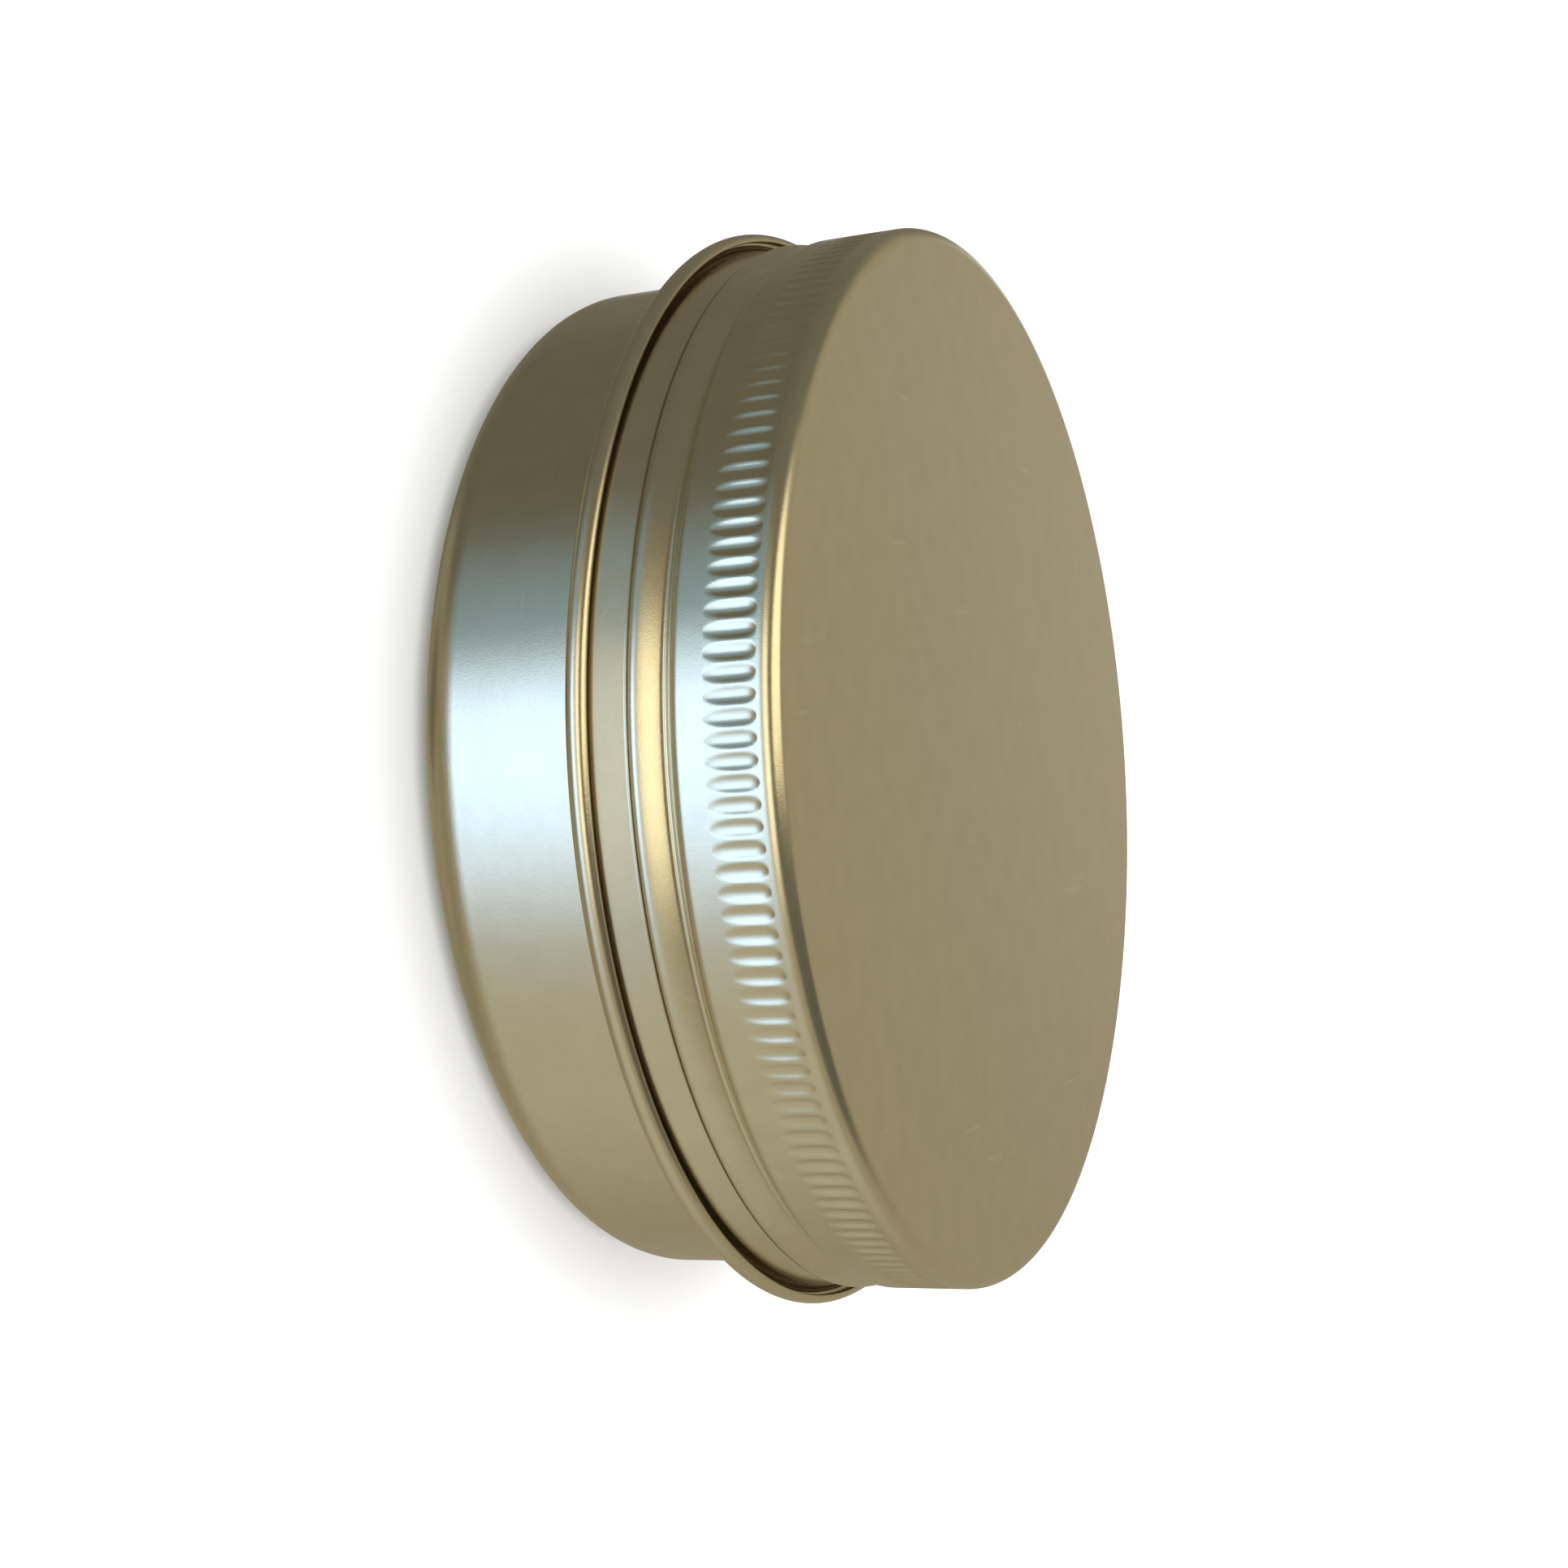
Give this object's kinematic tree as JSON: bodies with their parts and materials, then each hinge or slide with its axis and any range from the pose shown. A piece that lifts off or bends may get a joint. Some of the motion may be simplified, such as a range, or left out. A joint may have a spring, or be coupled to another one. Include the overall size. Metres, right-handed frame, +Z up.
{
  "type": "candle tin",
  "caption": "Shallow round aluminium candle tin with a knurled screw lid, rolled rim and foam liner.",
  "frame": {"origin": "middle of the foot, on the plane the tin stands on", "axes": "+Z up along the tin's axis, from the foot to the lid's top"},
  "size_m": [0.083, 0.083, 0.028],
  "materials": {
    "body_aluminium": "satin lacquered, pale gold",
    "lid_aluminium": "satin lacquered, pale gold",
    "liner_foam": "closed-cell foam, matt white"
  },
  "bodies": {
    "tin": {"tin_body": "body_aluminium"},
    "liner": {"foam_liner": "liner_foam"},
    "lid": {"screw_lid": "lid_aluminium"}
  },
  "joints": [
    {"name": "lid_rise", "type": "slide", "parent": "tin", "child": "liner", "axis": [0, 0, 1], "range_m": [0, 0.0145]},
    {"name": "lid_turn", "type": "hinge", "parent": "liner", "child": "lid", "pos_m": [0, 0, 0.014], "axis": [0, 0, 1], "range_deg": [0, 2160]}
  ],
  "couplings": [
    {"joint": "lid_rise", "follows": "lid_turn", "m_per_rad": 0.00038197}
  ]
}
